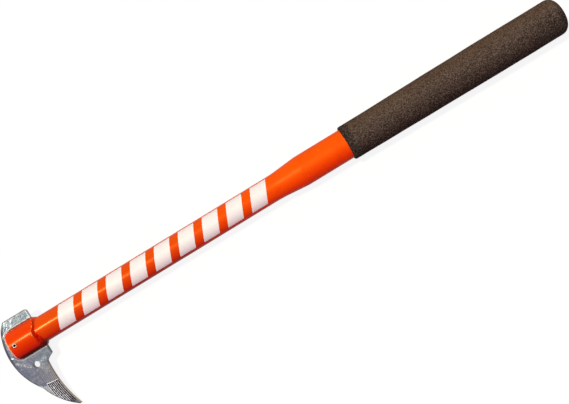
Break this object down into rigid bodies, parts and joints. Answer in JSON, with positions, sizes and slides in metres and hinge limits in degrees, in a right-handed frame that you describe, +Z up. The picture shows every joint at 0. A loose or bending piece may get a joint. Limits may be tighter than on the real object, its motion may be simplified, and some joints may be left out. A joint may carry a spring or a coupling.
{
  "type": "hookaroon",
  "caption": "Short-handled forestry hook for lifting and dragging logs: a flat steel pick pinned into a swaged painted tube with a long foam grip.",
  "frame": {"origin": "middle of the footprint of the tool lying on a floor", "axes": "+X along the handle from the hook to the grip, -Y to the side the pick points, +Z up"},
  "size_m": [0.7807, 0.1303, 0.0477],
  "materials": {
    "orange_paint": "glossy powder coat",
    "plated_steel": "mottled zinc plate",
    "pin_steel": "plain spring steel",
    "foam": "closed-cell foam",
    "plug_plastic": "moulded",
    "white_film": "printed film"
  },
  "bodies": {
    "root": {"handle_tube": "orange_paint", "head_sleeve": "orange_paint", "weld_bead": "orange_paint", "hook_plate": "plated_steel", "spring_pin": "pin_steel", "foam_grip": "foam", "end_plug": "plug_plastic", "handle_decal": "white_film"}
  },
  "joints": []
}
